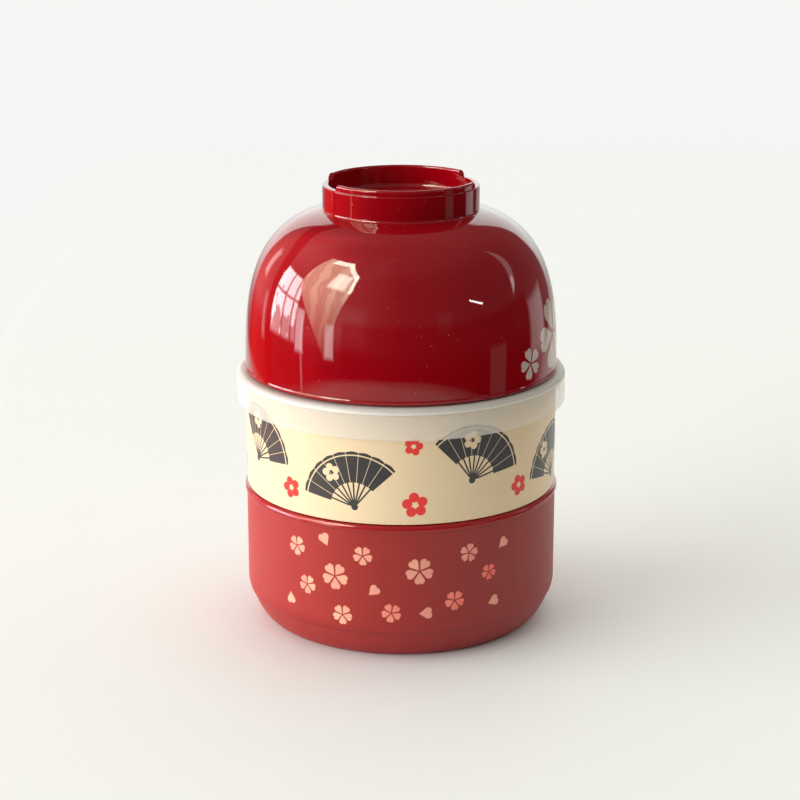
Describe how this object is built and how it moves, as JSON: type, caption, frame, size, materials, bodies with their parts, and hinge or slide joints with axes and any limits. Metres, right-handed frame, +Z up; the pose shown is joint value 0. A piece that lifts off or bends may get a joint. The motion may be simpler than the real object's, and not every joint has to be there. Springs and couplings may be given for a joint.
{
  "type": "bento box",
  "caption": "Round stacking lunch box: lower container, upper container nested on its rim, soft seal lid, and a soup bowl turned over as the cover.",
  "frame": {"origin": "centre of the ring that the box rests on, at the height of the table", "axes": "+Z up along the common axis of the pieces, -Y towards the side seen in the picture, +X to that view's right"},
  "size_m": [0.1104, 0.1104, 0.1501],
  "materials": {
    "satin_red": "satin red plastic with a scatter of small pale blossoms and a glossy lip",
    "cream": "satin cream plastic with a printed band of fans and small red blossoms",
    "milky_plastic": "soft milky plastic, slightly see-through",
    "gloss_red": "high-gloss deep red plastic with pale blossoms on one side"
  },
  "bodies": {
    "lower": {"lower_container": "satin_red"},
    "upper": {"upper_container": "cream"},
    "lid": {"seal_lid": "milky_plastic"},
    "bowl": {"soup_bowl": "gloss_red"}
  },
  "joints": [
    {"name": "upper_container_lift", "type": "slide", "parent": "lower", "child": "upper", "axis": [0, 0, 1], "range_m": [0, 0.06]},
    {"name": "seal_lid_lift", "type": "slide", "parent": "upper", "child": "lid", "axis": [0, 0, 1], "range_m": [0, 0.04]},
    {"name": "soup_bowl_lift", "type": "slide", "parent": "lid", "child": "bowl", "axis": [0, 0, 1], "range_m": [0, 0.07]}
  ]
}
